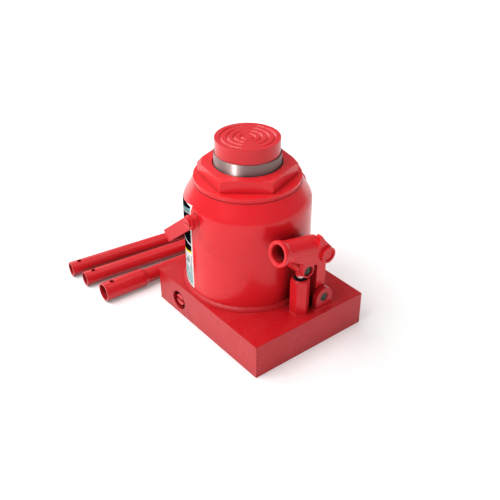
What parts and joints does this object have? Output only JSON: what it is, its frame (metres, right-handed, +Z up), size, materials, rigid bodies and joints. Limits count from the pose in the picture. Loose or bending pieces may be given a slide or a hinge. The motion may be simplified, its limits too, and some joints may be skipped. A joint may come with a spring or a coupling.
{
  "type": "hydraulic bottle jack",
  "caption": "Short, heavy hydraulic bottle jack with a square base, side hand pump, carrying handle and a three-piece pump handle lying beside it.",
  "frame": {"origin": "on the ram's axis, at the underside of the base", "axes": "+Z up along the ram, +X towards the hand pump, -Y the operator's side with the release valve"},
  "size_m": [0.3282, 0.3384, 0.236],
  "materials": {
    "red_paint_castings": "glossy enamel over cast steel",
    "red_paint_sheet": "glossy enamel over drawn steel",
    "red_paint_tube": "glossy enamel on steel tube",
    "weld": "enamel over a rippled weld bead",
    "polished_ram": "ground and chromed",
    "polished_rod": "ground and chromed",
    "dark_steel": "oiled, phosphated",
    "machined_steel": "turned",
    "piston_iron": "turned cast iron",
    "bronze": "turned bronze",
    "copper_washer": "soft copper",
    "black_rubber": "oiled nitrile",
    "grey_nylon": "turned nylon",
    "spring_steel": "drawn wire",
    "ball_steel": "lapped",
    "label": "printed film"
  },
  "bodies": {
    "jack_body": {"base": "red_paint_castings", "passage_plugs": "red_paint_castings", "oil_strainer": "bronze", "outlet_plug": "dark_steel", "outlet_spring": "spring_steel", "relief_spring": "spring_steel", "relief_screw": "dark_steel", "inlet_ball_cage": "bronze", "release_gland": "red_paint_castings", "release_oring": "black_rubber", "cylinder_gasket": "copper_washer", "pressure_cylinder": "machined_steel", "reservoir": "red_paint_sheet", "reservoir_weld": "weld", "tank_oring": "black_rubber", "top_nut": "red_paint_castings", "ram_guide_bush": "bronze", "ram_wiper": "black_rubber", "label_decal": "label", "carry_handle_bosses": "red_paint_castings", "carry_handle_screws": "red_paint_castings", "pump_cylinder": "red_paint_castings", "pump_gasket": "copper_washer", "pump_wiper": "black_rubber", "link_lower_pin": "dark_steel", "release_ball": "ball_steel"},
    "ram_body": {"ram": "polished_ram", "ram_piston": "piston_iron", "ram_u_cup": "black_rubber", "ram_guide_ring": "grey_nylon", "saddle": "red_paint_castings"},
    "pump_piston_body": {"pump_piston": "polished_rod", "pump_piston_seal": "black_rubber", "piston_pin": "dark_steel"},
    "link_body": {"pump_link": "red_paint_castings"},
    "lever_body": {"handle_socket": "red_paint_castings", "socket_bolt": "red_paint_castings", "socket_bolt_nut": "dark_steel"},
    "carry_handle_body": {"carry_handle": "red_paint_sheet"},
    "release_spindle_body": {"release_spindle": "red_paint_castings"},
    "inlet_ball_body": {"inlet_ball": "ball_steel"},
    "outlet_ball_body": {"outlet_ball": "ball_steel"},
    "relief_ball_body": {"relief_ball": "ball_steel"},
    "filler_plug_body": {"filler_plug": "black_rubber"},
    "rod_tip_body": {"handle_rod_tip": "red_paint_tube"},
    "rod_middle_body": {"handle_rod_middle": "red_paint_tube"},
    "rod_sleeve_body": {"handle_rod_sleeve": "red_paint_tube"}
  },
  "joints": [
    {"name": "ram_lift", "type": "slide", "parent": "jack_body", "child": "ram_body", "axis": [0, 0, 1], "range_m": [0, 0.118]},
    {"name": "link_rock", "type": "hinge", "parent": "jack_body", "child": "link_body", "pos_m": [0.0985, 0.027, 0.0605], "axis": [1, 0, 0], "range_deg": [-3, 0.5]},
    {"name": "lever_swing", "type": "hinge", "parent": "link_body", "child": "lever_body", "pos_m": [0.0985, 0.027, 0.1215], "axis": [1, 0, 0], "range_deg": [-36, 5.5]},
    {"name": "pump_stroke", "type": "slide", "parent": "jack_body", "child": "pump_piston_body", "axis": [0, 0, 1], "range_m": [-0.0031, 0.02]},
    {"name": "carry_handle_swing", "type": "hinge", "parent": "jack_body", "child": "carry_handle_body", "pos_m": [0, 0, 0.153], "axis": [0, 1, 0], "range_deg": [0, 166]},
    {"name": "release_valve_turn", "type": "hinge", "parent": "jack_body", "child": "release_spindle_body", "pos_m": [-0.0355, -0.07, 0.0202], "axis": [0, -1, 0], "range_deg": [0, 360]},
    {"name": "inlet_ball_lift", "type": "slide", "parent": "jack_body", "child": "inlet_ball_body", "axis": [0, 0, 1], "range_m": [0, 0.0015]},
    {"name": "outlet_ball_lift", "type": "slide", "parent": "jack_body", "child": "outlet_ball_body", "axis": [0, 0, -1], "range_m": [0, 0.0015], "stiffness_N_per_m": 200, "springref_m": -0.002, "deforming": ["outlet_spring"]},
    {"name": "relief_ball_lift", "type": "slide", "parent": "jack_body", "child": "relief_ball_body", "axis": [-1, 0, 0], "range_m": [0, 0.001], "stiffness_N_per_m": 2000, "springref_m": -0.003, "deforming": ["relief_spring"]},
    {"name": "filler_plug_pull", "type": "slide", "parent": "jack_body", "child": "filler_plug_body", "axis": [-0.7071, 0.7071, 0], "range_m": [0, 0.02]},
    {"name": "rod_tip_lift", "type": "slide", "parent": "jack_body", "child": "rod_tip_body", "axis": [0, 0, 1], "range_m": [0, 0.3]},
    {"name": "rod_middle_lift", "type": "slide", "parent": "jack_body", "child": "rod_middle_body", "axis": [0, 0, 1], "range_m": [0, 0.3]},
    {"name": "rod_sleeve_lift", "type": "slide", "parent": "jack_body", "child": "rod_sleeve_body", "axis": [0, 0, 1], "range_m": [0, 0.3]}
  ],
  "couplings": [
    {"joint": "link_rock", "follows": "lever_swing", "ratio": 0.0811},
    {"joint": "pump_stroke", "follows": "lever_swing", "m_per_rad": -0.0316}
  ]
}
